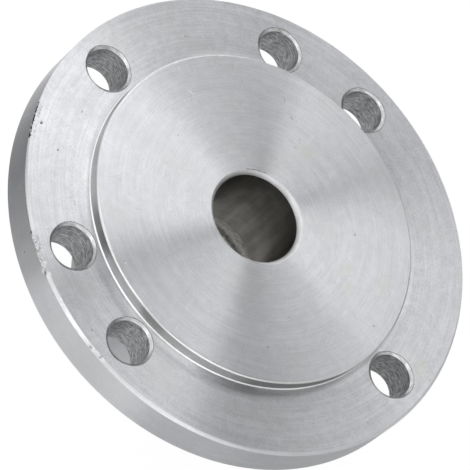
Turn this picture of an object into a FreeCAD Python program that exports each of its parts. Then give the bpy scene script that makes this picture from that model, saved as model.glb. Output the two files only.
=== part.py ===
import FreeCAD, Part
import math
import os

# Lathe faceplate that carries a chuck: one turned piece of steel, in millimetres.
# The axis is +Z. The hub's end is at z = 0 and the face that takes the chuck is on top.
# +X runs through the bolt hole that both bolt patterns share.

# Register: the low round step on the front that centres the chuck
register_diameter = 72.0
register_height = 3.0
register_chamfer = 0.4
register_root_radius = 0.3

# Bolt holes, one pattern of four and one of three on the same circle
bolt_hole_diameter = 9.2
bolt_hole_chamfer = 0.5
bolt_hole_back_chamfer = 0.2
register_to_hole_wall = 1.4
hole_to_rim_wall = 3.4
bolt_pattern_counts = (4, 3)

# Flange
flange_thickness = 9.0
rim_chamfer = 0.6

# Hub on the back, with the threaded socket that screws onto the spindle nose
thread_diameter = 33.0
thread_pitch = 3.5
thread_runout = 0.2
hub_wall = 6.0
hub_length = 28.0
hub_end_chamfer = 1.0
hub_root_radius = 2.0
socket_depth = 19.0

# Bore from the socket's floor to the front
bore_diameter = 19.2
bore_chamfer = 1.1

# Heights along the axis
flange_back_z = hub_length
flange_front_z = flange_back_z + flange_thickness
register_front_z = flange_front_z + register_height

# Radii
register_radius = register_diameter / 2
hole_radius = bolt_hole_diameter / 2
bolt_circle_radius = register_radius + register_to_hole_wall + hole_radius
rim_radius = bolt_circle_radius + hole_radius + hole_to_rim_wall
hub_radius = thread_diameter / 2 + hub_wall
bore_radius = bore_diameter / 2

# A metric thread is 5/8 of its sharp triangle deep, so the socket's wall is at its minor radius
sharp_thread_height = thread_pitch * math.sin(math.radians(60))
thread_depth = sharp_thread_height * 5 / 8
socket_radius = thread_diameter / 2 - thread_depth
socket_mouth_radius = thread_diameter / 2 + thread_runout
socket_mouth_chamfer = socket_mouth_radius - socket_radius

AXIS = FreeCAD.Vector(0, 0, 1)
ORIGIN = FreeCAD.Vector(0, 0, 0)
FULL_TURN = 360.0


def at(radius, height):
    """A point of the half section, which lies in the XZ plane."""
    return FreeCAD.Vector(radius, 0, height)


def quarter_arc(start, centre, end):
    """The quarter circle about centre that runs from start to end."""
    spread = (start - centre) + (end - centre)
    radius = (start - centre).Length
    middle = centre + spread.normalize() * radius
    return Part.Arc(start, middle, end).toShape()


def half_section():
    """The closed outline that turns about the axis into the faceplate without its bolt holes."""
    hub_fillet_start = at(hub_radius, flange_back_z - hub_root_radius)
    hub_fillet_end = at(hub_radius + hub_root_radius, flange_back_z)
    hub_fillet_centre = at(hub_radius + hub_root_radius, flange_back_z - hub_root_radius)
    root_fillet_start = at(register_radius + register_root_radius, flange_front_z)
    root_fillet_end = at(register_radius, flange_front_z + register_root_radius)
    root_fillet_centre = at(register_radius + register_root_radius, flange_front_z + register_root_radius)

    hub_end = [
        at(socket_radius, socket_mouth_chamfer),
        at(socket_mouth_radius, 0),
        at(hub_radius - hub_end_chamfer, 0),
        at(hub_radius, hub_end_chamfer),
        hub_fillet_start,
    ]
    rim = [
        hub_fillet_end,
        at(rim_radius - rim_chamfer, flange_back_z),
        at(rim_radius, flange_back_z + rim_chamfer),
        at(rim_radius, flange_front_z - rim_chamfer),
        at(rim_radius - rim_chamfer, flange_front_z),
        root_fillet_start,
    ]
    front_and_bore = [
        root_fillet_end,
        at(register_radius, register_front_z - register_chamfer),
        at(register_radius - register_chamfer, register_front_z),
        at(bore_radius + bore_chamfer, register_front_z),
        at(bore_radius, register_front_z - bore_chamfer),
        at(bore_radius, socket_depth),
        at(socket_radius, socket_depth),
        at(socket_radius, socket_mouth_chamfer),
    ]
    edges = Part.makePolygon(hub_end).Edges
    edges.append(quarter_arc(hub_fillet_start, hub_fillet_centre, hub_fillet_end))
    edges += Part.makePolygon(rim).Edges
    edges.append(quarter_arc(root_fillet_start, root_fillet_centre, root_fillet_end))
    edges += Part.makePolygon(front_and_bore).Edges
    return Part.Wire(edges)


def bolt_hole_angles():
    """Where the holes stand, in degrees from +X. A hole that two patterns share is listed once."""
    angles = set()
    for count in bolt_pattern_counts:
        for index in range(count):
            angles.add(index * FULL_TURN / count)
    return sorted(angles)


def bolt_hole_cutter(angle):
    """A drilled hole through the flange, with a chamfer at each mouth."""
    back_radius = hole_radius + bolt_hole_back_chamfer
    front_radius = hole_radius + bolt_hole_chamfer
    front_mouth_z = flange_front_z - bolt_hole_chamfer
    drill = Part.makeCylinder(hole_radius, flange_thickness, at(0, flange_back_z), AXIS)
    back_mouth = Part.makeCone(back_radius, hole_radius, bolt_hole_back_chamfer, at(0, flange_back_z), AXIS)
    front_mouth = Part.makeCone(hole_radius, front_radius, bolt_hole_chamfer, at(0, front_mouth_z), AXIS)
    cutter = drill.fuse([back_mouth, front_mouth]).removeSplitter()
    cutter.translate(at(bolt_circle_radius, 0))
    cutter.rotate(ORIGIN, AXIS, angle)
    return cutter


def faceplate():
    """The whole faceplate as one solid."""
    turned = Part.Face(half_section()).revolve(ORIGIN, AXIS, FULL_TURN)
    cutters = [bolt_hole_cutter(angle) for angle in bolt_hole_angles()]
    return turned.cut(cutters)


os.makedirs("parts", exist_ok=True)
solid = faceplate().Solids[0]
solid.exportStep("parts/faceplate.step")
print("faceplate", "valid" if solid.isValid() else "not valid", round(solid.Volume, 1), "mm3")
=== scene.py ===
import math
import random

import bmesh
import bpy
from mathutils import Matrix, Quaternion, Vector
from mathutils.geometry import delaunay_2d_cdt


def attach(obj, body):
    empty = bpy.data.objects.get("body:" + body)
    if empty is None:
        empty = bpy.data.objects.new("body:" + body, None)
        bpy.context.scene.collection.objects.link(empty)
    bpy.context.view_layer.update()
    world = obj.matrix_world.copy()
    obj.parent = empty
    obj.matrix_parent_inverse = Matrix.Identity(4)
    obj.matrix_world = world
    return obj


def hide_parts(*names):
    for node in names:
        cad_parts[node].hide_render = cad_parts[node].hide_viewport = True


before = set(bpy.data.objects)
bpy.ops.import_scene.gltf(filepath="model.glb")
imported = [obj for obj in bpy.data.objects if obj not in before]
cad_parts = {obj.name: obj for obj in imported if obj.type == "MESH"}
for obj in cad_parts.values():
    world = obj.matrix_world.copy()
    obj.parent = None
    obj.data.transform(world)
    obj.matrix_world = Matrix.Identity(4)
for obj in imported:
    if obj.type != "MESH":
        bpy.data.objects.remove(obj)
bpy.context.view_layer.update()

# Lathe faceplate in bright turned steel. Sizes are in millimetres and angles in degrees from +X,
# until a mesh is made, which is in metres.
MM = 0.001

# Sizes that the solid has too
register_radius = 36.0
register_height = 3.0
register_chamfer = 0.4
rim_radius = 50.0
rim_chamfer = 0.6
flange_thickness = 9.0
hole_circle_radius = 42.0
hole_angles = (0, 90, 120, 180, 240, 270)
hole_radius = 4.6
hole_chamfer = 0.5
hole_back_chamfer = 0.2
hub_length = 28.0
hub_radius = 22.5
hub_root_radius = 2.0
hub_end_chamfer = 1.0
socket_depth = 19.0
bore_radius = 9.6
bore_chamfer = 1.1
thread_radius = 16.5
thread_pitch = 3.5
thread_runout = 0.2

flange_front_z = hub_length + flange_thickness
face_z = flange_front_z + register_height
back_radius = rim_radius - rim_chamfer
thread_depth = thread_pitch * math.sin(math.radians(60)) * 5 / 8
socket_radius = thread_radius - thread_depth
socket_mouth_radius = thread_radius + thread_runout

# Sizes that only the skin has. The thread runs out over thread_fade and has gone at thread_end.
root_bevel = 0.2
edge_bulge = 0.06
mouth_width = 0.9
mouth_bulge = 0.12
mouth_narrowing = 0.32
mouth_narrow_angle = 137
# the width of a thin ring painted dark around each bolt hole, as painted shade of its edge
hole_shade_ring = 0.15
thread_end = 13.0
thread_fade = 9.0

root_edge = register_radius + root_bevel
mouth_radius = bore_radius + mouth_width
narrowest_mouth = bore_radius + 0.7 * mouth_width
hub_root_edge = hub_radius + hub_root_radius

# How finely the skin is divided
RIM_COUNT = 1440
HUB_COUNT = 288
HOLE_COUNT = 96
THREAD_ROWS = 70
FACE_SPACING = 1.6
weld_distance = 0.002
hub_end_middle = 19.4
socket_floor_middle = 12.0

# How much of the rim's front chamfer is left where it is thinnest, and the angle where it is full
thin_share = 0.35
full_chamfer_angle = 305

# Bands next to the worn edges, where the mesh is fine enough for nicks. Depths are measured from the
# flange's front.
rim_band_inner = 47.8
rim_band_radii = (rim_band_inner, 48.2, 48.5, 48.75, 48.95, 49.1, 49.23)
rim_wall_depths = (0.82, 1.05, 1.4, 2.0, 4.0, 6.5)
register_band_inner = 34.6
register_band_radii = (register_band_inner, 34.9, 35.15, 35.35, 35.5)

# Stretches of wear, each from one angle to another and with how softly it ends. Stretches of painted
# shade on the register's side have the same form, and their last number is how dark the shade is.
pitted_stretch = (200.5, 212.5, 2.0)
pitted_radius = 49.15
torn_stretch = (236.5, 245.5, 1.0)
torn_radius = 49.4
painted_shade_stretches = ((227, 246, 10, 0.38), (175, 197, 12, 0.33), (303, 350, 14, 0.36))

# Marks are looked up by the part of the turn that they lie in
BUCKET_DEGREES = 5
MARK_KINDS = ("dark", "bright", "stain", "pitted", "torn")

# Material slots of the skin, in the order of the list of materials
(FACED, FLANGE_FACED, RIM_TURNED, STEP_SIDE, BRIGHT_EDGE, COUNTERSUNK, DRILLED, BORED, MOUTH, CUT_THREAD,
 ROOT_EDGE, HOLE_SHADE_RING) = range(12)


class Skin:
    """The faceplate's surface, collected patch by patch. Edges between two patches stay sharp."""

    def __init__(self):
        self.points = []
        self.faces = []
        self.slots = []
        self.patches = []
        self.uvs = []
        self.patch = 0

    def add(self, points):
        start = len(self.points)
        self.points.extend(points)
        return start

    def face(self, corners, slot, uvs=None):
        self.faces.append(corners)
        self.slots.append(slot)
        self.patches.append(self.patch)
        self.uvs.append(uvs or [(0.0, 0.0)] * len(corners))

    def sweep(self, loops, slot, around=0.0, offset=0.0):
        """Joins closed loops with quads. around is the radius in millimetres that unrolls them, and
        offset moves them along, so that two alike don't show the same streaks."""
        self.patch += 1
        count = len(loops[0])
        starts = [self.add(loop) for loop in loops]
        depth = 0.0
        for low, high, low_loop, high_loop in zip(starts, starts[1:], loops, loops[1:]):
            step = (Vector(high_loop[0]) - Vector(low_loop[0])).length
            for i in range(count):
                j = (i + 1) % count
                left = offset + i * math.tau / count * around
                right = offset + (i + 1) * math.tau / count * around
                uvs = [(left, depth), (right, depth), (right, depth + step), (left, depth + step)]
                self.face((low + i, low + j, high + j, high + i), slot, uvs)
            depth += step

    def turn(self, profile, count, slot):
        """Turns a profile of radii and heights about the axis."""
        self.sweep(profile_rings(profile, count), slot)

    def fill(self, loops, inner_points, slot, z):
        """Fills the flat region at height z between the first loop and the round ones cut out of it.
        Each loop comes with its centre."""
        self.patch += 1
        flat = []
        edges = []
        for loop, centre in loops:
            start = len(flat)
            flat.extend(Vector((p[0], p[1])) for p in loop)
            edges.extend((start + i, start + (i + 1) % len(loop)) for i in range(len(loop)))
        flat.extend(Vector(p) for p in inner_points)
        found = delaunay_2d_cdt(flat, edges, [], 1, 1e-5)
        start = self.add([(p.x, p.y, z) for p in found[0]])
        for corners in found[2]:
            middle = sum((found[0][i] for i in corners), Vector((0, 0))) / len(corners)
            if not any(inside(middle, loop, centre) for loop, centre in loops[1:]):
                self.face(tuple(start + i for i in corners), slot)


def inside(p, loop, centre):
    """Whether a point lies within a round loop, told by the side of the chord it faces."""
    turn = math.atan2(p.y - centre[1], p.x - centre[0]) / math.tau % 1.0
    i = int(turn * len(loop)) % len(loop)
    start, end = loop[i], loop[(i + 1) % len(loop)]
    return (end[0] - start[0]) * (p.y - start[1]) > (end[1] - start[1]) * (p.x - start[0])


def uneven_ring(radius_at, z, count, centre=(0.0, 0.0)):
    """A round loop whose radius depends on the turn."""
    loop = []
    for i in range(count):
        turn = i * math.tau / count
        radius = radius_at(turn)
        loop.append((centre[0] + radius * math.cos(turn), centre[1] + radius * math.sin(turn), z))
    return loop


def ring(radius, z, count, centre=(0.0, 0.0)):
    return uneven_ring(lambda turn: radius, z, count, centre)


def profile_rings(profile, count):
    return [ring(radius, z, count) for radius, z in profile]


def arc(centre, radius, start, end, steps):
    """Points of a fillet in the half section, from one angle to another."""
    turns = [math.radians(start + (end - start) * i / steps) for i in range(steps + 1)]
    return [(centre[0] + radius * math.cos(a), centre[1] + radius * math.sin(a)) for a in turns]


def rounded(start, end, bulge):
    """Points of a chamfer in the half section that bulges out of the metal, for an edge broken by hand."""
    steps = 6
    start = Vector(start)
    end = Vector(end)
    outward = Vector((end.y - start.y, start.x - end.x)).normalized()
    if outward.y < 0:
        outward = -outward
    points = []
    for i in range(steps + 1):
        share = i / steps
        p = start.lerp(end, share) + outward * bulge * 4 * share * (1 - share)
        points.append((p.x, p.y))
    return points


def hole_centre(angle):
    turn = math.radians(angle)
    return hole_circle_radius * math.cos(turn), hole_circle_radius * math.sin(turn)


def at_angle(radius, angle, z=0.0):
    turn = math.radians(angle)
    return Vector((radius * math.cos(turn), radius * math.sin(turn), z))


class Mark:
    """A mark on the skin. Its length runs at slant degrees to the turned lines. Depth bites into the
    metal, and dark, bright and stain say how much it shows."""

    def __init__(self, radius, angle, z, length, width, slant=0.0, depth=0.0, dark=0.0, bright=0.0,
                 stain=0.0, edge=False):
        self.middle = at_angle(radius, angle, z)
        outward = at_angle(1.0, angle)
        around = Vector((-outward.y, outward.x, 0))
        turn = math.radians(slant)
        self.along = around * math.cos(turn) + outward * math.sin(turn)
        self.inward = -(outward + Vector((0, 0, 1))).normalized() if edge else Vector((0, 0, -1))
        self.angle = angle
        self.length = length
        self.width = width
        self.depth = depth
        self.shows = (dark, bright, stain)
        self.reach = max(length, width)

    def share(self, p):
        """1 in the middle of the mark, falling to 0 at its outline."""
        away = p - self.middle
        if away.length > self.reach:
            return 0.0
        lengthways = away.dot(self.along)
        crossways = (away - self.along * lengthways).length
        far = (lengthways / self.length) ** 2 + (crossways / self.width) ** 2
        return (1 - far) ** 2 if far < 1 else 0.0


def edge_wear():
    """Pits, nicks and burrs along the front edges of the rim and the register."""
    rng = random.Random(11)
    marks = []

    def on_rim(angle, size, depth, dark, bright=0.0):
        down = rng.random()
        radius = rim_radius - rim_chamfer * (1 - down)
        z = flange_front_z - rim_chamfer * down
        length = size * rng.uniform(1.0, 1.8)
        marks.append(Mark(radius, angle, z, length, size, 0, depth, dark, bright, edge=True))

    for angle in (203.3, 204.3, 206.3, 208.1, 210.4, 211.8):
        on_rim(angle, rng.uniform(0.22, 0.3), 0.2, 0.6)
    for angle in (236.4, 237.6, 238.9, 240.2, 242.0, 243.4, 244.8):
        on_rim(angle, rng.uniform(0.4, 0.6), 0.38, 0.45)
    for angle in (146.7, 164.9, 171.0, 178.6, 182.1, 190.7):
        on_rim(angle, rng.uniform(0.3, 0.5), 0.15, 0.2, 0.5)
    for angle in (264.9, 268.0):
        on_rim(angle, 0.45, 0.18, 0.4)
    for _ in range(34):
        on_rim(rng.uniform(199, 214), rng.uniform(0.2, 0.3), 0.1, rng.choice((0.0, 0.5)))
    for _ in range(40):
        on_rim(rng.uniform(236, 245.5), rng.uniform(0.25, 0.5), rng.choice((-0.16, 0.18)), 0.0, 0.8)
    for _ in range(60):
        on_rim(rng.uniform(0, 360), rng.uniform(0.2, 0.35), 0.07, 0.1)
    for angle, dark in ((202.6, 0.55), (203.6, 0.5), (204.6, 0.75), (205.6, 0.4), (209.8, 0.35)):
        marks.append(Mark(49.1, angle, flange_front_z, 0.21, 0.2, 0, 0.1, dark))
    register_edge = register_radius - register_chamfer / 2
    for angle in (142.7, 143.7, 160.8, 161.6, 29.4, 1.9):
        marks.append(Mark(register_edge, angle, face_z, 0.5, 0.4, 0, 0.12, 0.0, 0.6, edge=True))
    for _ in range(24):
        size = rng.uniform(0.2, 0.35)
        marks.append(Mark(register_edge, rng.uniform(0, 360), face_z, size, size, 0, 0.06, 0.1, edge=True))
    return marks


def face_wear():
    """Single marks on the flat faces: dents, scratches and stains, and painted shade as a dark outline of
    the bore's mouth where it is narrow."""
    rng = random.Random(4)
    marks = [
        Mark(48.2, 206.75, flange_front_z, 0.32, 0.32, 0, 0.1, 1.0),
        Mark(43.6, 212.2, flange_front_z, 0.34, 0.26, 0, 0.06, 0.6),
        Mark(41.1, 197.5, flange_front_z, 0.34, 0.26, 0, 0.05, 0.4),
        Mark(47.3, 261.8, flange_front_z, 0.34, 0.28, 0, 0.06, 0.5),
        Mark(41.7, 150.8, flange_front_z, 0.4, 0.24, 0, 0.04, 0.4),
        Mark(48.9, 7.5, flange_front_z, 0.4, 0.3, 0, 0.05, 0.4),
        Mark(28.8, 161.5, face_z, 1.3, 0.22, 58, 0.02, 0.0, 0.8),
        Mark(34.3, 161.2, face_z, 0.8, 0.22, 70, 0.02, 0.0, 0.7),
        Mark(25.7, 111.3, face_z, 0.9, 0.2, 40, 0.02, 0.35),
        Mark(28.7, 116.6, face_z, 1.1, 0.2, 65, 0.02, 0.3),
        Mark(19.8, 103.1, face_z, 0.7, 0.22, 20, 0.02, 0.3),
        Mark(22.1, 103.0, face_z, 0.8, 0.2, 55, 0.02, 0.25),
        # painted shade: a dark outline of the bore's mouth where it is narrow
        Mark(10.44, 120.0, face_z, 1.1, 0.13, 0, 0.02, 0.45),
        Mark(10.4, 127.0, face_z, 1.2, 0.13, 0, 0.02, 0.5),
        Mark(10.38, 134.0, face_z, 1.2, 0.13, 0, 0.02, 0.55),
        Mark(10.38, 141.0, face_z, 1.2, 0.13, 0, 0.02, 0.5),
        Mark(32.4, 5.0, face_z, 0.25, 0.21, 0, 0.07, 0.8),
        Mark(28.5, 314.2, face_z, 0.3, 0.24, 0, 0.05, 0.6),
        Mark(22.6, 42.4, face_z, 0.25, 0.21, 0, 0.06, 0.75),
        Mark(34.2, 249.5, face_z, 0.3, 0.24, 0, 0.05, 0.5),
        Mark(22.8, 182.1, face_z, 0.3, 0.22, 0, 0.04, 0.4),
        Mark(21.1, 96.4, face_z, 3.4, 2.2, 20, stain=0.6),
        Mark(33.1, 100.7, face_z, 3.2, 1.8, 0, stain=0.4),
        Mark(21.4, 19.7, face_z, 3.0, 1.8, 30, stain=0.7),
        Mark(23.4, 8.5, face_z, 3.4, 2.0, 10, stain=0.7),
        Mark(30.2, 23.3, face_z, 3.8, 2.8, 0, stain=0.5),
        Mark(46.0, 8.0, flange_front_z, 4.4, 1.8, 0, stain=0.5),
    ]
    for _ in range(46):
        on_flange = rng.random() < 0.45
        radius = rng.uniform(37.5, 47.6) if on_flange else rng.uniform(11.5, 34.0)
        z = flange_front_z if on_flange else face_z
        angle = rng.uniform(0, 360)
        if rng.random() < 0.5:
            size = rng.uniform(0.16, 0.26)
            marks.append(Mark(radius, angle, z, size, size, 0, 0.03, rng.uniform(0.15, 0.4)))
        else:
            slant = rng.uniform(-90, 90)
            length = rng.uniform(0.5, 1.6)
            light = rng.random() < 0.5
            dark = 0.0 if light else 0.16
            bright = 0.24 if light else 0.0
            marks.append(Mark(radius, angle, z, length, 0.16, slant, 0.01, dark, bright))
    return marks


def bucket(angle):
    return int(angle % 360 / BUCKET_DEGREES)


def by_bucket(marks):
    """The marks near each bucket, so that a point is tried against no others."""
    near = {}
    for mark in marks:
        for neighbour in range(-2, 3):
            near.setdefault((bucket(mark.angle) + neighbour) % (360 // BUCKET_DEGREES), []).append(mark)
    return near


FACE_MARKS = face_wear()
MARKS_NEAR = by_bucket(edge_wear() + FACE_MARKS)


def window(value, low, high, soft):
    """1 between low and high, falling to 0 over soft on both sides."""
    share = min((value - low) / soft, (high - value) / soft)
    return max(0.0, min(1.0, 0.5 + share))


def edge_zones(p):
    """Where the rim's front edge is pitted and where it is torn, from 0 to 1."""
    radius = math.hypot(p.x, p.y)
    if radius < rim_band_inner or abs(p.z - flange_front_z) > rim_chamfer * 1.3:
        return 0.0, 0.0
    angle = math.degrees(math.atan2(p.y, p.x)) % 360
    on_chamfer = flange_front_z - p.z > 0.03
    pitted_share = 1.0 if on_chamfer else 0.7 if radius > pitted_radius else 0.0
    pitted = window(angle, *pitted_stretch) * pitted_share
    torn = window(angle, *torn_stretch) * window(radius, torn_radius, math.inf, 0.4)
    return pitted, torn


def step_painted_shade(p):
    """How dark the register's side is painted with shade, which lies on three stretches of it."""
    margin = 0.05
    if abs(math.hypot(p.x, p.y) - register_radius) > 0.01:
        return 0.0
    if not flange_front_z + root_bevel + margin < p.z < face_z - register_chamfer - margin:
        return 0.0
    angle = math.degrees(math.atan2(p.y, p.x)) % 360
    return sum(dark * window(angle, low, high, soft) for low, high, soft, dark in painted_shade_stretches)


def worn(point):
    """Moves a point of the skin into the marks it lies in, and says how each kind shows there."""
    p = Vector(point)
    moved = p.copy()
    shows = [0.0, 0.0, 0.0]
    for mark in MARKS_NEAR.get(bucket(math.degrees(math.atan2(p.y, p.x))), ()):
        share = mark.share(p)
        if share > 0:
            moved += mark.inward * mark.depth * share
            shows = [max(old, share * new) for old, new in zip(shows, mark.shows)]
    # painted shade on three stretches of the register's side, carried as dark marks
    shows[0] = max(shows[0], step_painted_shade(p))
    return tuple(moved), shows + list(edge_zones(p))


def mark_points(z):
    """Close points over each mark of a flat face, so that the mesh can show it."""
    rows = 5
    closest = 0.12
    points = []
    for mark in FACE_MARKS:
        if abs(mark.middle.z - z) > 0.1:
            continue
        across = Vector((-mark.along.y, mark.along.x, 0))
        step = mark.width / rows
        columns = int(mark.length / max(step, closest)) + 1
        for i in range(-columns, columns + 1):
            for j in range(-rows - 1, rows + 2):
                p = mark.middle + mark.along * (mark.length * i / columns) + across * (step * j)
                points.append((p.x, p.y))
    return points


def chamfer_width(angle):
    """The front chamfer is full at the lower edge in the photograph and worn thin at the top and left."""
    a = math.radians(angle)
    full = 0.5 + 0.5 * math.tanh(3.2 * math.cos(a - math.radians(full_chamfer_angle)) - 0.3)
    uneven = 1 + 0.06 * math.sin(3 * a + 1.0) + 0.05 * math.sin(8 * a) + 0.04 * math.sin(23 * a)
    return rim_chamfer * (thin_share + (1 - thin_share) * full) * uneven


def rim_front_loop(share_in, share_down):
    """A loop of the front chamfer, at one share of its width in from the rim and one down from the face."""
    loop = []
    for i in range(RIM_COUNT):
        angle = i * 360 / RIM_COUNT
        width = chamfer_width(angle)
        turn = math.radians(angle)
        radius = rim_radius - width * share_in
        z = flange_front_z - width * share_down
        loop.append((radius * math.cos(turn), radius * math.sin(turn), z))
    return loop


def mouth_loop(radius, z):
    """A loop of the bore's rounded mouth, which is narrower at the top in the photograph."""

    def narrowed(turn):
        narrowing = mouth_narrowing * max(0.0, math.cos(turn - math.radians(mouth_narrow_angle))) ** 2
        return bore_radius + (radius - bore_radius) * (1 - narrowing)

    return uneven_ring(narrowed, z, HUB_COUNT)


def countersink_edge(centre, index, beyond=0.0):
    """The edge of a bolt hole's chamfer, which was cut by hand and isn't quite even, or a loop that lies
    beyond it by some millimetres."""

    def uneven(turn):
        share = 1 + 0.14 * math.sin(2 * turn + index) + 0.08 * math.sin(5 * turn + 2 * index)
        return hole_radius + hole_chamfer * share + beyond

    return uneven_ring(uneven, flange_front_z, HOLE_COUNT, centre)


def thread_loops():
    """The socket's wall with its right-hand thread, which runs out before the floor."""
    root_half_width = thread_pitch / 16
    flank_width = thread_depth * math.tan(math.radians(30))
    loops = []
    for row in range(THREAD_ROWS + 1):
        z = socket_depth * row / THREAD_ROWS
        chamfer_radius = socket_mouth_radius - z
        fading = max(0.0, min(1.0, (thread_end - z) / thread_fade))
        fading = fading * fading * (3 - 2 * fading)
        loop = []
        for i in range(HUB_COUNT):
            turn = i * math.tau / HUB_COUNT
            phase = (z / thread_pitch - i / HUB_COUNT) % 1.0
            off_root = abs(phase - 0.5) * thread_pitch
            share = max(0.0, min(1.0, (root_half_width + flank_width - off_root) / flank_width))
            radius = max(socket_radius + thread_depth * share * fading, chamfer_radius)
            loop.append((radius * math.cos(turn), radius * math.sin(turn), z))
        loops.append(loop)
    return loops


def face_points(inner, outer, keep_clear=()):
    """An even spread of points between two radii, clear of the holes."""
    rng = random.Random(5)
    points = []
    row_height = FACE_SPACING * math.sin(math.radians(60))
    steps = int(outer / row_height) + 1
    margin = 0.5 * FACE_SPACING
    for j in range(-steps, steps + 1):
        for i in range(-steps - 1, steps + 2):
            x = (i + 0.5 * (j % 2)) * FACE_SPACING + rng.uniform(-0.1, 0.1)
            y = j * row_height + rng.uniform(-0.1, 0.1)
            if within((x, y), inner, outer, keep_clear, margin):
                points.append((x, y))
    return points


def within(p, inner, outer, keep_clear=(), margin=0.1):
    """Whether a point lies between two radii and clear of the holes."""
    if not inner + margin < math.hypot(*p) < outer - margin:
        return False
    return all(math.hypot(p[0] - cx, p[1] - cy) > clear + margin for cx, cy, clear in keep_clear)


def spread(coarse, fine):
    """The coarse points that aren't close to a fine one, and the fine ones."""
    taken = {(round(x), round(y)) for x, y in fine}
    return [p for p in coarse if (round(p[0]), round(p[1])) not in taken] + fine


def add_register(skin):
    """The worn band of the register's face, its chamfer, its side and the bevel at its root."""
    chamfer_start = (register_radius - register_chamfer, face_z)
    chamfer_end = (register_radius, face_z - register_chamfer)
    skin.turn([(radius, face_z) for radius in register_band_radii] + [chamfer_start], RIM_COUNT, FACED)
    skin.turn(rounded(chamfer_start, chamfer_end, edge_bulge), RIM_COUNT, BRIGHT_EDGE)
    root_top = flange_front_z + root_bevel
    side_heights = (face_z - register_chamfer, face_z - 0.5, face_z - 1.2, root_top + 0.1, root_top)
    skin.turn([(register_radius, z) for z in side_heights], RIM_COUNT, STEP_SIDE)
    skin.turn([(register_radius, root_top), (root_edge, flange_front_z)], RIM_COUNT, ROOT_EDGE)


def add_rim(skin):
    """The worn outer band of the flange, the front chamfer, the rim and the back chamfer."""
    band_loops = profile_rings([(radius, flange_front_z) for radius in rim_band_radii], RIM_COUNT)
    skin.sweep(band_loops + [rim_front_loop(1, 0)], FLANGE_FACED)
    chamfer_shares = ((1, 0), (0.72, 0.24), (0.48, 0.48), (0.24, 0.72), (0, 1))
    skin.sweep([rim_front_loop(*shares) for shares in chamfer_shares], RIM_TURNED)
    back_chamfer_z = hub_length + rim_chamfer
    wall_heights = [flange_front_z - depth for depth in rim_wall_depths] + [back_chamfer_z]
    wall_loops = profile_rings([(rim_radius, z) for z in wall_heights], RIM_COUNT)
    skin.sweep([rim_front_loop(0, 1)] + wall_loops, RIM_TURNED)
    skin.turn([(rim_radius, back_chamfer_z), (back_radius, hub_length)], RIM_COUNT, RIM_TURNED)


def add_hub(skin):
    """The hub's root fillet, side, end chamfer and end face."""
    root_centre = (hub_root_edge, hub_length - hub_root_radius)
    skin.turn(arc(root_centre, hub_root_radius, 90, 180, 8), HUB_COUNT, RIM_TURNED)
    side_heights = (hub_length - hub_root_radius, hub_length / 2, hub_end_chamfer)
    skin.turn([(hub_radius, z) for z in side_heights], HUB_COUNT, RIM_TURNED)
    end_edge = hub_radius - hub_end_chamfer
    skin.turn([(hub_radius, hub_end_chamfer), (end_edge, 0)], HUB_COUNT, RIM_TURNED)
    end_radii = (end_edge, hub_end_middle, socket_mouth_radius)
    skin.turn([(radius, 0) for radius in end_radii], HUB_COUNT, FACED)


def add_bore(skin):
    """The threaded socket, its floor, the bore and the bore's rounded mouth."""
    skin.sweep(thread_loops(), CUT_THREAD, socket_radius)
    floor_radii = (socket_radius, socket_floor_middle, bore_radius)
    skin.turn([(radius, socket_depth) for radius in floor_radii], HUB_COUNT, FACED)
    bore_top = face_z - bore_chamfer
    bore_heights = (socket_depth, (socket_depth + bore_top) / 2, bore_top)
    skin.turn([(bore_radius, z) for z in bore_heights], HUB_COUNT, BORED)
    mouth = rounded((bore_radius, bore_top), (mouth_radius, face_z), mouth_bulge)
    skin.sweep([mouth_loop(radius, z) for radius, z in mouth], MOUTH)


def add_hole(skin, index, centre):
    """A bolt hole: a thin ring around it painted dark as painted shade of its edge, its chamfers and the
    drilled wall. Gives its outlines on the front and the back of the flange."""
    streak_offset = 41.0
    front_outline = countersink_edge(centre, index, hole_shade_ring)
    front_edge = countersink_edge(centre, index)
    wall_top = flange_front_z - hole_chamfer
    wall_heights = (wall_top, hub_length + flange_thickness / 2, hub_length + hole_back_chamfer)
    wall = [ring(hole_radius, z, HOLE_COUNT, centre) for z in wall_heights]
    back_outline = ring(hole_radius + hole_back_chamfer, hub_length, HOLE_COUNT, centre)
    skin.sweep([front_outline, front_edge], HOLE_SHADE_RING)
    skin.sweep([front_edge, wall[0]], COUNTERSUNK, hole_radius)
    skin.sweep(wall, DRILLED, hole_radius, streak_offset * index)
    skin.sweep([wall[-1], back_outline], COUNTERSUNK, hole_radius)
    return (front_outline, centre), (back_outline, centre)


def round_loop(radius, z, count):
    return ring(radius, z, count), (0.0, 0.0)


def add_faces(skin, front_outlines, back_outlines, keep_clear):
    """The flat faces: the register's, the flange's front and the flange's back."""
    face = [round_loop(register_band_inner, face_z, RIM_COUNT)]
    face.append((mouth_loop(mouth_radius, face_z), (0.0, 0.0)))
    points = spread(face_points(mouth_radius, register_band_inner), mark_points(face_z))
    points = [p for p in points if within(p, narrowest_mouth, register_band_inner)]
    skin.fill(face, points, FACED, face_z)

    front = [round_loop(radius, flange_front_z, RIM_COUNT) for radius in (rim_band_inner, root_edge)]
    points = spread(face_points(root_edge, rim_band_inner, keep_clear), mark_points(flange_front_z))
    points = [p for p in points if within(p, root_edge, rim_band_inner, keep_clear)]
    skin.fill(front + front_outlines, points, FLANGE_FACED, flange_front_z)

    back = [round_loop(back_radius, hub_length, RIM_COUNT), round_loop(hub_root_edge, hub_length, HUB_COUNT)]
    points = face_points(hub_root_edge, back_radius, keep_clear)
    skin.fill(back + back_outlines, points, FACED, hub_length)


def build_skin():
    skin = Skin()
    add_register(skin)
    add_rim(skin)
    add_hub(skin)
    add_bore(skin)
    centres = [hole_centre(angle) for angle in hole_angles]
    outlines = [add_hole(skin, index, centre) for index, centre in enumerate(centres)]
    front_outlines, back_outlines = (list(side) for side in zip(*outlines))
    hole_edge = hole_radius + hole_chamfer + hole_shade_ring
    add_faces(skin, front_outlines, back_outlines, [(x, y, hole_edge) for x, y in centres])
    return skin


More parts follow.
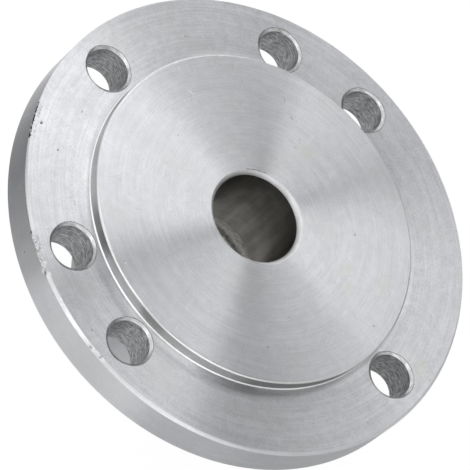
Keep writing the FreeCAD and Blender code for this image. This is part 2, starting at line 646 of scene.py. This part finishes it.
def make_faceplate(materials):
    skin = build_skin()
    mesh = bpy.data.meshes.new("faceplate_skin")
    worn_points = [worn(p) for p in skin.points]
    mesh.from_pydata([tuple(c * MM for c in p) for p, _ in worn_points], [], skin.faces)
    for index, kind in enumerate(MARK_KINDS):
        layer = mesh.attributes.new(kind, "FLOAT", "POINT")
        layer.data.foreach_set("value", [shows[index] for _, shows in worn_points])
    for material in materials:
        mesh.materials.append(material)
    uv_layer = mesh.uv_layers.new(name="unrolled")
    for polygon, slot, uvs in zip(mesh.polygons, skin.slots, skin.uvs):
        polygon.material_index = slot
        for loop_index, uv in zip(polygon.loop_indices, uvs):
            uv_layer.data[loop_index].uv = uv

    bm = bmesh.new()
    bm.from_mesh(mesh)
    patch_layer = bm.faces.layers.int.new("patch")
    for face, patch in zip(bm.faces, skin.patches):
        face[patch_layer] = patch
        face.smooth = True
    bmesh.ops.remove_doubles(bm, verts=bm.verts, dist=weld_distance * MM)
    bmesh.ops.recalc_face_normals(bm, faces=bm.faces)
    for edge in bm.edges:
        patches = {face[patch_layer] for face in edge.link_faces}
        edge.smooth = len(patches) == 1
    bm.to_mesh(mesh)
    bm.free()

    piece = bpy.data.objects.new("faceplate_skin", mesh)
    bpy.context.scene.collection.objects.link(piece)
    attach(piece, "root")
    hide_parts("faceplate")


def grey(level):
    return (level, level, level, 1.0)


def shades(colour, darker, lighter):
    """A darker and a lighter tone of a colour."""
    dark = tuple(c * (1 - darker) for c in colour) + (1.0,)
    light = tuple(min(1.0, c * (1 + lighter)) for c in colour) + (1.0,)
    return dark, light


# Colours of the steel and of its marks; the dark marks' colour is also that of painted shade
steel = (0.722, 0.733, 0.76)
stain_colour = (0.68, 0.65, 0.52, 1.0)
pit_and_shade_colour = grey(0.06)
burr_colour = (0.92, 0.93, 0.94, 1.0)
speck_colour = grey(0.35)
scored_colour = grey(0.25)
rubbed_colour = grey(0.97)

# Painted light on the flange beside the register: how much brighter it is there and how far out that
# reaches, and the stretches where it is less so or turns to painted shade: angle, half width, how softly
# it ends and the share of the gain that is left. The flange's darker stretch has the same form, but its
# share is of the flange's whole tone.
painted_light_gain = 1.36
painted_light_width = 2.8
weaker_light_stretches = (
    (182.0, 29.0, 8.0, 0.0),
    (6.0, 11.0, 8.0, 0.55),
    (300.0, 9.5, 7.0, -0.3),
    (251.0, 11.0, 8.0, 0.3),
)
darker_stretch = (94.0, 20.0, 17.0, 0.87)

# Marks on the rim: angle, distance below the flange's front, half length, half width, slant, colour
# and strength. The first four are wide patches of painted light and painted shade over the wall's
# height; the rest are a light scratch and two dark spots.
rim_marks_and_painted_light = (
    (194.0, 4.5, 8.5, 9.0, 0.0, grey(0.97), 0.42),
    (213.5, 4.5, 9.0, 9.0, 0.0, (0.45, 0.45, 0.47, 1.0), 0.28),
    (241.0, 4.5, 6.0, 9.0, 0.0, grey(0.97), 0.42),
    (267.0, 4.5, 15.0, 14.0, 0.0, (0.97, 0.97, 0.95, 1.0), 0.3),
    (202.5, 5.4, 2.6, 0.26, 102.0, grey(0.95), 0.85),
    (235.1, 0.75, 0.42, 0.3, 0.0, grey(0.04), 0.95),
    (237.8, 5.1, 0.3, 0.26, 0.0, grey(0.1), 0.5),
)


class Nodes:
    """A short way to write a material's nodes."""

    def __init__(self, material):
        material.use_nodes = True
        self.tree = material.node_tree
        self.tree.nodes.clear()

    def add(self, kind, inputs=None, **settings):
        node = self.tree.nodes.new(kind)
        for key, value in settings.items():
            setattr(node, key, value)
        for key, value in (inputs or {}).items():
            if isinstance(value, bpy.types.NodeSocket):
                self.tree.links.new(value, node.inputs[key])
            else:
                node.inputs[key].default_value = value
        return node

    def math(self, operation, a, b=0.0):
        return self.add("ShaderNodeMath", {0: a, 1: b}, operation=operation).outputs[0]

    def weighted(self, *terms):
        """The sum of some values, each times its weight."""
        products = [self.math("MULTIPLY", value, weight) for value, weight in terms]
        total = products[0]
        for product in products[1:]:
            total = self.math("ADD", total, product)
        return total

    def ramp(self, value, low, high, to_low=0.0, to_high=1.0):
        inputs = {"Value": value, "From Min": low, "From Max": high, "To Min": to_low, "To Max": to_high}
        return self.add("ShaderNodeMapRange", inputs, interpolation_type="SMOOTHSTEP").outputs["Result"]

    def mix(self, share, a, b):
        node = self.add("ShaderNodeMix", {"Factor": share, 6: a, 7: b}, data_type="RGBA")
        return node.outputs[2]

    def noise(self, vector, scale, detail, roughness=0.5):
        inputs = {"Vector": vector, "Scale": scale, "Detail": detail, "Roughness": roughness}
        return self.add("ShaderNodeTexNoise", inputs).outputs["Fac"]

    def place(self):
        return self.add("ShaderNodeTexCoord").outputs["Object"]

    def parts(self, vector):
        return self.add("ShaderNodeSeparateXYZ", {0: vector}).outputs

    def joined(self, x, y, z=0.0):
        return self.add("ShaderNodeCombineXYZ", {"X": x, "Y": y, "Z": z}).outputs[0]

    def scaled(self, vector, share):
        return self.add("ShaderNodeVectorMath", {0: vector, "Scale": share}, operation="SCALE").outputs[0]

    def length(self, vector):
        return self.add("ShaderNodeVectorMath", {0: vector}, operation="LENGTH").outputs["Value"]

    def direction(self, vector):
        return self.add("ShaderNodeVectorMath", {0: vector}, operation="NORMALIZE").outputs[0]

    def facing(self, direction, angle):
        """The cosine between a direction and the one at an angle in degrees."""
        inputs = {0: direction, 1: tuple(at_angle(1.0, angle))}
        return self.add("ShaderNodeVectorMath", inputs, operation="DOT_PRODUCT").outputs["Value"]

    def bump(self, height, depth):
        """The normal of a surface whose height, from 0 to 1, stands for depth millimetres."""
        inputs = {"Height": height, "Distance": depth * MM, "Strength": 1.0}
        return self.add("ShaderNodeBump", inputs).outputs["Normal"]

    def metal(self, inputs):
        shader = self.add("ShaderNodeBsdfPrincipled", {"Metallic": 1.0, **inputs})
        self.add("ShaderNodeOutputMaterial", {"Surface": shader.outputs[0]})


def lathe_coordinates(nodes):
    """The place, the unit direction from the axis, and the distance along the section in millimetres."""
    place = nodes.place()
    parts = nodes.parts(place)
    flat = nodes.joined(parts["X"], parts["Y"])
    section = nodes.math("ADD", nodes.length(flat), parts["Z"])
    return place, nodes.direction(flat), nodes.math("MULTIPLY", section, 1 / MM)


def lines_around(nodes, toward, section, per_mm, around, detail=2.0):
    """Noise drawn out into lines that run around the axis: fine across, and long along the turn."""
    parts = nodes.parts(nodes.scaled(toward, around))
    across = nodes.math("MULTIPLY", section, per_mm)
    return nodes.noise(nodes.joined(parts["X"], parts["Y"], across), 1.0, detail, 0.6)


def scratches(nodes, place, angle, length, spacing, width):
    """Thin scratches along one direction, where a noise drawn out that way passes its middle value."""
    drawn_out = nodes.add("ShaderNodeMapping", {
        "Vector": place,
        "Rotation": (0.0, 0.0, math.radians(angle)),
        "Scale": (length * MM, spacing * MM, spacing * MM),
    }, vector_type="TEXTURE").outputs[0]
    off_middle = nodes.math("ABSOLUTE", nodes.math("SUBTRACT", nodes.noise(drawn_out, 1.0, 0.0), 0.5))
    line = nodes.ramp(off_middle, 0.0, width, 1.0, 0.0)
    where = nodes.ramp(nodes.noise(drawn_out, 2.3, 1.0), 0.53, 0.62)
    return nodes.math("MULTIPLY", line, where)


def wall_marks_and_painted_light(nodes, place, base):
    """Marks on the rim and wide patches of painted light and shade, laid out on its wall as if it were
    unrolled.
    """
    parts = nodes.parts(place)
    turn = nodes.math("ARCTAN2", parts["Y"], parts["X"])
    down = nodes.math("SUBTRACT", flange_front_z, nodes.math("MULTIPLY", parts["Z"], 1 / MM))
    unrolled = nodes.joined(nodes.math("MULTIPLY", turn, rim_radius), down)
    for angle, below, half_length, half_width, slant, colour, strength in rim_marks_and_painted_light:
        spot = nodes.add("ShaderNodeMapping", {
            "Vector": unrolled,
            "Location": (math.radians(angle - 360) * rim_radius, below, 0.0),
            "Rotation": (0.0, 0.0, math.radians(slant)),
            "Scale": (half_length, half_width, 1.0),
        }, vector_type="TEXTURE").outputs[0]
        base = nodes.mix(nodes.ramp(nodes.length(spot), 0.45, 1.0, strength, 0.0), base, colour)
    return base


def with_marks(nodes, place, base, rough):
    """Lays the marks of the skin, painted shade among the dark ones, over a colour and a roughness, and
    breaks up the pitted and torn edge.
    """
    attributes = [nodes.add("ShaderNodeAttribute", attribute_name=kind) for kind in MARK_KINDS]
    dark, bright, stain, pitted, torn = (attribute.outputs["Fac"] for attribute in attributes)
    pits = nodes.noise(place, 2600.0, 1.0)
    in_zone = nodes.math("ADD", pits, nodes.math("MULTIPLY", pitted, 0.8))
    dark = nodes.math("MAXIMUM", dark, nodes.ramp(in_zone, 1.2, 1.3))
    bright = nodes.math("MAXIMUM", bright, nodes.math("MULTIPLY", torn, nodes.ramp(pits, 0.54, 0.6)))
    gaps = nodes.ramp(pits, 0.45, 0.38, 0.0, 0.6)
    dark = nodes.math("MAXIMUM", dark, nodes.math("MULTIPLY", torn, gaps))
    blotch = nodes.noise(place, 500.0, 2.0)
    stain = nodes.math("MULTIPLY", stain, nodes.ramp(blotch, 0.38, 0.6, 0.18, 0.65))
    base = nodes.mix(stain, base, stain_colour)
    # dark marks: pits, and painted shade on the register's side and at the bore's mouth
    base = nodes.mix(nodes.ramp(dark, 0.0, 0.7), base, pit_and_shade_colour)
    base = nodes.mix(nodes.ramp(bright, 0.0, 0.8), base, burr_colour)
    shown = nodes.math("MAXIMUM", dark, bright)
    return base, nodes.math("ADD", rough, nodes.math("MULTIPLY", shown, 0.25))


def flange_painted_light(nodes, place, toward, base):
    """Painted light on the flange close to the register, weaker or turned to painted shade on a few
    stretches, and a darker side of the flange.
    """
    flat = nodes.add("ShaderNodeVectorMath", {0: place, 1: (1.0, 1.0, 0.0)}, operation="MULTIPLY").outputs[0]

    def stretch(angle, half_width, soft, share):
        """1, but share within half_width degrees of the angle."""
        low = math.cos(math.radians(half_width + soft / 2))
        high = math.cos(math.radians(half_width - soft / 2))
        return nodes.ramp(nodes.facing(toward, angle), low, high, 1.0, share)

    outer = (register_radius + painted_light_width) * MM
    gain = nodes.ramp(nodes.length(flat), root_edge * MM, outer, painted_light_gain - 1, 0.0)
    for weaker_stretch in weaker_light_stretches:
        gain = nodes.math("MULTIPLY", gain, stretch(*weaker_stretch))
    tone = nodes.math("MULTIPLY", nodes.math("ADD", gain, 1.0), stretch(*darker_stretch))
    return nodes.scaled(base, tone)


def turned_steel(name, colour, roughness, anisotropy, line_depth, contrast, on_flange=False, on_rim=False):
    """Steel as the lathe leaves it, with fine lines that run around the axis."""
    material = bpy.data.materials.new(name)
    nodes = Nodes(material)
    place, toward, section = lathe_coordinates(nodes)
    fine = lines_around(nodes, toward, section, 3.2, 3.0, 3.0)
    coarse = lines_around(nodes, toward, section, 0.55, 1.2)
    grain = nodes.noise(place, 3200.0, 2.0)
    cloud = nodes.noise(place, 80.0, 4.0)
    mottle = nodes.noise(place, 520.0, 3.0)

    dark, light = shades(colour, contrast, contrast * 0.8)
    tone = nodes.weighted((fine, 0.35), (coarse, 0.15), (grain, 0.3), (mottle, 0.2))
    base = nodes.mix(nodes.ramp(tone, 0.36, 0.64), dark, light)
    warm = (colour[0] * 0.98, colour[1] * 0.965, colour[2] * 0.92, 1.0)
    base = nodes.mix(nodes.ramp(cloud, 0.5, 0.72, 0.0, 0.35), base, warm)
    specks = nodes.noise(place, 1700.0, 1.0)
    base = nodes.mix(nodes.ramp(specks, 0.72, 0.82, 0.0, 0.35), base, speck_colour)
    scored = nodes.math("MAXIMUM", scratches(nodes, place, 62.0, 11.0, 3.6, 0.018),
                        scratches(nodes, place, -35.0, 8.0, 2.7, 0.02))
    base = nodes.mix(nodes.math("MULTIPLY", scored, 0.11), base, scored_colour)
    rubbed = nodes.math("MAXIMUM", scratches(nodes, place, 96.0, 12.0, 2.2, 0.03),
                        scratches(nodes, place, 8.0, 16.0, 3.0, 0.025))
    base = nodes.mix(nodes.math("MULTIPLY", rubbed, 0.17), base, rubbed_colour)
    rough = nodes.ramp(cloud, 0.3, 0.7, roughness - 0.015, roughness + 0.02)
    # painted light on the flange beside the register, and its darker side
    if on_flange:
        base = flange_painted_light(nodes, place, toward, base)
    # painted light and shade on the rim's wall, with its scratch and spots
    if on_rim:
        base = wall_marks_and_painted_light(nodes, place, base)
    base, rough = with_marks(nodes, place, base, rough)
    nodes.metal({
        "Base Color": base,
        "Roughness": rough,
        "Anisotropic": anisotropy,
        "Anisotropic Rotation": 0.25,
        "Tangent": nodes.add("ShaderNodeTangent", direction_type="RADIAL", axis="Z").outputs[0],
        "Normal": nodes.bump(fine, line_depth),
    })
    return material


def drilled_steel(name, colour, roughness, streak_depth, contrast, painted_light_by_height=None):
    """A drilled wall: broken lines that wind around the hole, from its unrolled coordinates. The last
    argument gives painted light and shade by height: two heights in millimetres and the share of the
    colour at each."""
    material = bpy.data.materials.new(name)
    nodes = Nodes(material)
    unrolled = nodes.parts(nodes.add("ShaderNodeUVMap", uv_map="unrolled").outputs[0])
    climb = nodes.math("ADD", unrolled["Y"], nodes.math("MULTIPLY", unrolled["X"], 0.12))
    vector = nodes.joined(nodes.math("MULTIPLY", unrolled["X"], 0.6), nodes.math("MULTIPLY", climb, 3.4))
    lines = nodes.noise(vector, 1.0, 3.0, 0.6)
    place = nodes.place()
    height = nodes.weighted((lines, 0.7), (nodes.noise(place, 1500.0, 2.0), 0.3))
    base = nodes.mix(nodes.ramp(height, 0.38, 0.62), *shades(colour, contrast, contrast))
    if painted_light_by_height:
        # painted light and shade along the wall's height
        low, high, low_share, high_share = painted_light_by_height
        z = nodes.parts(place)["Z"]
        base = nodes.scaled(base, nodes.ramp(z, low * MM, high * MM, low_share, high_share))
    nodes.metal({"Base Color": base, "Roughness": roughness, "Normal": nodes.bump(height, streak_depth)})
    return material


def painted_shade_bored_steel(name, colour, roughness):
    """A wall with streaks that run along the axis, with painted light that grows toward the socket and
    painted shade toward the face.
    """
    material = bpy.data.materials.new(name)
    nodes = Nodes(material)
    place, toward, section = lathe_coordinates(nodes)
    parts = nodes.parts(nodes.scaled(toward, 5.0))
    vector = nodes.joined(parts["X"], parts["Y"], nodes.math("MULTIPLY", section, 0.03))
    streaks = nodes.noise(vector, 1.0, 4.0)
    fine = lines_around(nodes, toward, section, 2.0, 2.0)
    tone = nodes.weighted((streaks, 0.5), (nodes.noise(place, 260.0, 4.0), 0.5))
    base = nodes.mix(nodes.ramp(tone, 0.38, 0.62), *shades(colour, 0.18, 0.18))
    z = nodes.parts(place)["Z"]
    # painted light toward the socket and painted shade toward the face
    base = nodes.scaled(base, nodes.ramp(z, socket_depth * MM, face_z * MM, 1.4, 0.78))
    nodes.metal({
        "Base Color": base,
        "Roughness": nodes.ramp(streaks, 0.3, 0.7, roughness + 0.03, roughness - 0.03),
        "Normal": nodes.bump(fine, 0.02),
    })
    return material


# The white floor: its paint, how much of the object's shadow shows, and how white the metal mirrors
# it next to the faceplate and under the socket, where the floor's glow carries painted shade
floor_half_size = 3.0
floor_z = -0.02
floor_paint = 0.8
floor_shadow = 0.15
near_white = 0.47
socket_white = 0.6
shade_reach = 151.0

# Its two sides with painted shade in the glow that the metal mirrors: the direction, and the cosines between
# which the shade sets in
left_shade_angle = 201.0
left_shade_edge = (0.755, 0.86)
left_shade_full = 104.0
right_shade_angle = 334.0
right_shade_edge = (0.67, 0.8)
right_shade = 0.36


def make_floor():
    """The white floor keeps the object's shadow. The metal shows it as a white glow too, but with painted
    shade close to the faceplate and on two sides of it."""
    size = floor_half_size
    z = floor_z * MM
    mesh = bpy.data.meshes.new("floor")
    corners = [(-size, -size, z), (size, -size, z), (size, size, z), (-size, size, z)]
    mesh.from_pydata(corners, [], [(0, 1, 2, 3)])
    floor = bpy.data.objects.new("floor", mesh)
    bpy.context.scene.collection.objects.link(floor)
    material = bpy.data.materials.new("floor_white")
    nodes = Nodes(material)
    path = nodes.add("ShaderNodeLightPath").outputs
    place = nodes.place()
    away = nodes.length(place)
    toward = nodes.direction(place)

    # painted shade in the floor's glow as the metal mirrors it
    reflected = nodes.ramp(away, rim_radius * MM, shade_reach * MM, near_white, 1.0)
    left = nodes.ramp(nodes.facing(toward, left_shade_angle), *left_shade_edge)
    left = nodes.math("MULTIPLY", left, nodes.ramp(away, rim_radius * MM, left_shade_full * MM))
    right = nodes.ramp(nodes.facing(toward, right_shade_angle), *right_shade_edge)
    right = nodes.math("MULTIPLY", right, right_shade)
    reflected = nodes.math("MULTIPLY", reflected, nodes.math("SUBTRACT", 1.0, left))
    reflected = nodes.math("MULTIPLY", reflected, nodes.math("SUBTRACT", 1.0, right))
    under_socket = nodes.math("LESS_THAN", away, socket_mouth_radius * MM)
    reflected = nodes.math("MAXIMUM", reflected, nodes.math("MULTIPLY", under_socket, socket_white))
    mirrored = nodes.math("MAXIMUM", path["Is Glossy Ray"], path["Is Transmission Ray"])

    paint = nodes.add("ShaderNodeBsdfDiffuse", {"Color": grey(floor_paint)}).outputs[0]
    in_metal = nodes.add("ShaderNodeEmission", {"Color": grey(1.0), "Strength": reflected}).outputs[0]
    shadowed = nodes.add("ShaderNodeBsdfDiffuse", {"Color": grey(floor_paint * floor_shadow)}).outputs[0]
    glow = nodes.add("ShaderNodeEmission", {"Color": grey(1.0), "Strength": 1 - floor_shadow / 2}).outputs[0]
    seen = nodes.add("ShaderNodeAddShader", {0: shadowed, 1: glow}).outputs[0]
    unseen = nodes.add("ShaderNodeMixShader", {0: mirrored, 1: paint, 2: in_metal}).outputs[0]
    surface = nodes.add("ShaderNodeMixShader", {0: path["Is Camera Ray"], 1: unseen, 2: seen}).outputs[0]
    nodes.add("ShaderNodeOutputMaterial", {"Surface": surface})
    mesh.materials.append(material)


# Light: the world's strength, the height of the point that the lamps face, and the soft lights as
# name, azimuth, elevation, width, height, roll, distance and brightness
world_strength = 0.17
light_centre_z = 5.0
softboxes = (
    ("key", 117, 57.7, 0.408, 0.431, 34, 1.163, 1.95),
    ("key_edge", 92, 44.8, 0.227, 0.173, -2, 0.55, 1.35),
    ("back_low", 123, 19.8, 0.994, 0.455, 53, 0.998, 1.24),
    ("left_low", 163.5, 25.7, 0.616, 0.399, -35, 0.624, 1.03),
    ("front_left_low", 213, 33.3, 0.893, 0.359, -59, 0.562, 1.26),
    ("front_left", 253, 39.2, 0.364, 0.662, -27, 0.91, 2.23),
    ("front_right_low", 305, 10.8, 0.67, 0.921, 30, 0.715, 1.59),
    ("right", 7, 25.8, 1.084, 0.467, 12, 0.727, 0.76),
    ("top", 40, 80.3, 0.466, 0.247, -15, 0.943, 1.44),
)


def make_world():
    world = bpy.data.worlds.new("studio")
    bpy.context.scene.world = world
    nodes = Nodes(world)
    background = nodes.add("ShaderNodeBackground", {"Color": grey(1.0), "Strength": world_strength})
    nodes.add("ShaderNodeOutputWorld", {"Surface": background.outputs[0]})


def softbox(name, azimuth, elevation, width, height, roll, distance, brightness):
    """A soft light in the direction azimuth, elevation from the faceplate, facing it. Its sizes are in
    metres, and its brightness is that of the face of the box, where 1 is white."""
    lamp = bpy.data.lights.new(name, "AREA")
    lamp.shape = "RECTANGLE"
    lamp.size = width
    lamp.size_y = height
    lamp.energy = brightness * math.pi * width * height
    box = bpy.data.objects.new(name, lamp)
    bpy.context.scene.collection.objects.link(box)
    toward = at_angle(math.cos(math.radians(elevation)), azimuth, math.sin(math.radians(elevation)))
    box.location = toward * distance + Vector((0, 0, light_centre_z * MM))
    box.rotation_mode = "QUATERNION"
    box.rotation_quaternion = toward.to_track_quat("Z", "Y") @ Quaternion((0, 0, 1), math.radians(roll))


# The photograph's view, as the faceplate lies in its frame of 470 x 470. Names that end in pixel or
# pixels are measures of that frame.
frame_pixels = 470
focal_pixels = 4016.8
face_centre_pixel = (257.49, 216.22)
camera_distance = 806.4
face_tilt = 37.96
lean_direction = -39.71
turn_about_axis = 3.88
sensor_width = 36.0


def make_camera():
    """Places the camera from how the face stands to it: image axes are x right, y down, z away."""
    tilt = math.radians(face_tilt)
    lean = math.radians(lean_direction)
    turn = math.radians(turn_about_axis)
    normal = Vector((math.sin(tilt) * math.cos(lean), math.sin(tilt) * math.sin(lean), -math.cos(tilt)))
    across = Vector((-math.sin(lean), math.cos(lean), 0))
    along = normal.cross(across)
    plate_x = across * math.cos(turn) + along * math.sin(turn)
    plate_y = along * math.cos(turn) - across * math.sin(turn)
    middle = frame_pixels / 2
    offset_x = (face_centre_pixel[0] - middle) / focal_pixels * camera_distance
    offset_y = (face_centre_pixel[1] - middle) / focal_pixels * camera_distance
    origin = Vector((offset_x, offset_y, camera_distance)) - normal * face_z
    flip = Matrix.Diagonal((1.0, -1.0, -1.0))
    to_camera = flip @ Matrix((plate_x, plate_y, normal)).transposed()
    from_camera = to_camera.transposed()

    lens = bpy.data.cameras.new("camera")
    lens.sensor_width = sensor_width
    lens.lens = focal_pixels / frame_pixels * sensor_width
    camera = bpy.data.objects.new("camera", lens)
    bpy.context.scene.collection.objects.link(camera)
    camera.matrix_world = Matrix.Translation(-(from_camera @ (flip @ origin)) * MM) @ from_camera.to_4x4()
    bpy.context.scene.camera = camera


materials = [
    turned_steel("turned_steel", steel, 0.33, 1.0, 0.012, 0.1),
    turned_steel("turned_flange_steel", steel, 0.33, 1.0, 0.014, 0.14, on_flange=True),
    turned_steel("turned_rim_steel", steel, 0.36, 0.95, 0.012, 0.06, on_rim=True),
    # the register's side is the same turned steel, coloured darker as painted shade
    turned_steel("step_steel_painted_shade", (0.5, 0.505, 0.505), 0.42, 0.8, 0.02, 0.12),
    turned_steel("bright_edge_steel", (0.72, 0.725, 0.73), 0.34, 0.8, 0.004, 0.04),
    drilled_steel("countersunk_steel", (0.58, 0.585, 0.59), 0.4, 0.03, 0.2),
    drilled_steel("drilled_steel", (0.52, 0.53, 0.54), 0.36, 0.06, 0.45),
    # the bore's very dark colour is painted shade
    painted_shade_bored_steel("painted_shade_bored_steel", (0.152, 0.147, 0.135), 0.34),
    turned_steel("mouth_steel", (0.73, 0.735, 0.74), 0.5, 0.5, 0.01, 0.12),
    # the thread is painted lighter toward the hub's end and darker deeper in: painted light and shade
    drilled_steel("threaded_steel", (0.62, 0.61, 0.58), 0.6, 0.05, 0.35, (7.5, 13.0, 1.12, 0.6)),
    # the bevel at the register's root is coloured near white as a painted highlight
    turned_steel("root_edge_highlight_steel", (0.9, 0.905, 0.91), 0.36, 0.8, 0.004, 0.04),
    # a thin dark ring around each bolt hole: painted shade of its edge
    turned_steel("hole_shade_ring_steel", (0.3, 0.3, 0.31), 0.4, 0.8, 0.01, 0.5),
]
make_faceplate(materials)
make_floor()
make_world()
for settings in softboxes:
    softbox(*settings)
make_camera()

view = bpy.context.scene.view_settings
view.view_transform = "Standard"
